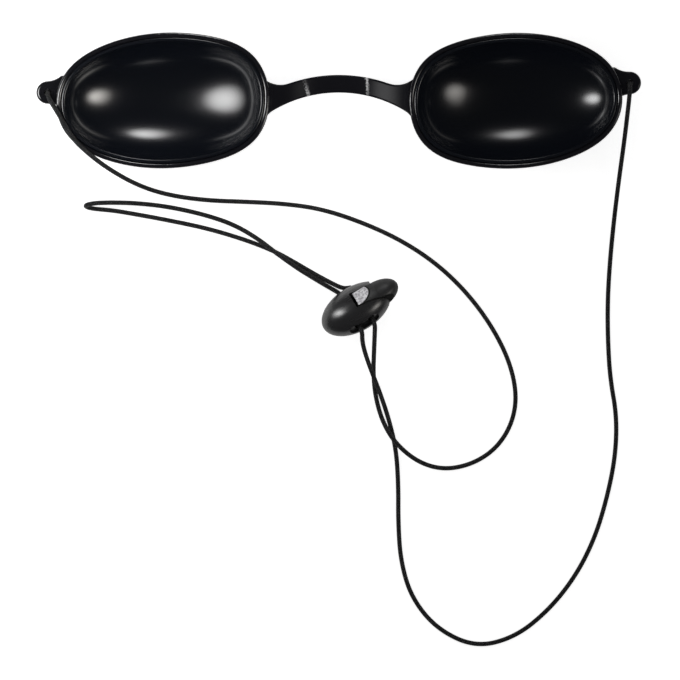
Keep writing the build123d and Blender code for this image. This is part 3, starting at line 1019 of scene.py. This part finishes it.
@dataclass
class Studio:
    """White table, soft lamps and the camera above, with lengths in millimetres.

    The light that glossy surfaces mirror from the room falls from sweep_low at the horizon to sweep_high
    where a direction's z reaches sweep_top, and the light room_level falls on matt ones.
    """

    photo_pixels: int = 680
    pixel_size: float = 0.24
    centre: tuple[float, float] = (0.3, -57.36)
    sharp_height: float = 8.0
    lens: float = 600.0
    sensor: float = 36.0
    clip_reach: float = 10.0
    sweep_top: float = 0.12
    sweep_low: float = 0.035
    sweep_high: float = 0.008
    room_level: float = 0.35
    table_half: float = 4000.0
    table_grey: float = 0.88
    table_rough: float = 0.9
    table_glow: float = 0.75
    lamps: tuple[SoftLamp, ...] = (
        SoftLamp("right_lamp", (144, -43, 215), (-140, 0, 5), width=250, height=175, level=0.37,
                 spread=43.0, tint=(1.0, 0.97, 0.92)),
        SoftLamp("left_lamp", (-101, 1, 87), (200, 0, 60), width=130, height=62, level=6.9),
        SoftLamp("far_lamp", (0, 455, 290), (-150, 0, 5), width=280, height=240, level=0.775,
                 spread=52.0),
    )

    def camera(self) -> None:
        """Puts the camera straight above the photograph's middle, at its scale."""
        data = bpy.data.cameras.new("camera")
        data.lens = self.lens
        data.sensor_width = self.sensor
        away = self.photo_pixels * self.pixel_size * self.lens / self.sensor
        data.clip_end = self.clip_reach * away * MM
        camera = bpy.data.objects.new("camera", data)
        camera.location = (self.centre[0] * MM, self.centre[1] * MM, (self.sharp_height + away) * MM)
        bpy.context.scene.collection.objects.link(camera)
        bpy.context.scene.camera = camera

    def world(self) -> None:
        """Dark room above a pale sweep: white for the camera, grey light for the rest."""
        world = bpy.data.worlds.new("room")
        world.use_nodes = True
        bpy.context.scene.world = world
        nodes = NodeTree(world.node_tree)
        path = nodes.add("ShaderNodeLightPath").outputs
        view = nodes.add("ShaderNodeTexCoord")
        split = nodes.add("ShaderNodeSeparateXYZ", Vector=view.outputs["Generated"])
        sweep = nodes.ramp(split.outputs["Z"], 0.0, self.sweep_top, self.sweep_low, self.sweep_high)
        plain = nodes.ramp(path["Is Glossy Ray"], 0.0, 1.0, self.room_level, 0.0)
        shiny = nodes.calc("MULTIPLY", path["Is Glossy Ray"], sweep)
        level = nodes.calc("MAXIMUM", nodes.calc("ADD", plain, shiny), path["Is Camera Ray"])
        nodes.fill(world.node_tree.nodes["Background"], Strength=level, Color=(1.0, 1.0, 1.0, 1.0))

    def table(self) -> None:
        """White table top that keeps a faint shadow."""
        half = self.table_half
        corners = np.array([(-half, -half, 0), (half, -half, 0), (half, half, 0), (-half, half, 0)]) * MM
        mesh = bpy.data.meshes.new("table_top")
        mesh.from_pydata(corners, [], [(0, 1, 2, 3)])
        floor = bpy.data.objects.new("table_top", mesh)
        bpy.context.scene.collection.objects.link(floor)
        material, nodes, shader = new_material("table_white")
        path = nodes.add("ShaderNodeLightPath")
        glow = nodes.calc("MULTIPLY", path.outputs["Is Camera Ray"], self.table_glow)
        nodes.fill(shader, Base_Color=(self.table_grey, self.table_grey, self.table_grey, 1.0),
                   Roughness=self.table_rough, Emission_Color=(1.0, 1.0, 1.0, 1.0), Emission_Strength=glow)
        mesh.materials.append(material)

    def build(self) -> None:
        """Sets the whole studio up."""
        self.camera()
        self.world()
        self.table()
        for lamp in self.lamps:
            lamp.build()
        bpy.context.scene.view_settings.view_transform = "Standard"


# Finishes of the solids that keep their shape, and of the cups
FRAME_PLASTIC = Plastic(
    "polished_frame", colour=(0.0105, 0.0105, 0.0135), rough=0.15, change=0.05, ior=1.45, wave_size=420.0,
    grain=0.10, bump=0.10, specular=0.15, coat_ior=2.0, dull_half=18.0,
    # The strap's two glint lines are painted highlights
    glint_lines=(PaintedGlint(middle=-6.9, slant=0.25, width=0.62, lower=0.9, upper=0.1),
             PaintedGlint(middle=7.05, slant=0.05, width=0.5, lower=0.25, upper=1.0)))
CUP_PLASTIC = Plastic(
    "polished_cup", colour=(0.005, 0.0065, 0.0105), rough=0.22, change=0.02, ior=1.7, wave_size=300.0,
    grain=0.05, bump=0.015)
LOCK_PLASTICS = {
    "lock_body": LockPlastic("lock_body_satin", rough=0.25, coat=1.0),
    "lock_plunger": LockPlastic("lock_plunger_satin", rough=0.42, coat=0.0, has_pad=True),
}


def main() -> None:
    logging.basicConfig(level=logging.INFO)
    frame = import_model()
    Studio().build()
    moulding = make_moulding_group()
    cup_finish = CUP_PLASTIC.build(moulding)
    cord_finish = Braid().build(make_braid_group())
    dress_node(frame, "frame", FRAME_PLASTIC.build(moulding))
    for side in Side:
        EyeCup(side).build(cup_finish)
    riders = [CordKnot(side).build(cord_finish) for side in Side]
    for node, plastic in LOCK_PLASTICS.items():
        riders.append(dress_node(frame, node, plastic.build(moulding)))
    riders.append(LockSpring().build(Steel().build(moulding)))
    ElasticCord().build(cord_finish, riders)


if __name__ == "__main__":
    main()
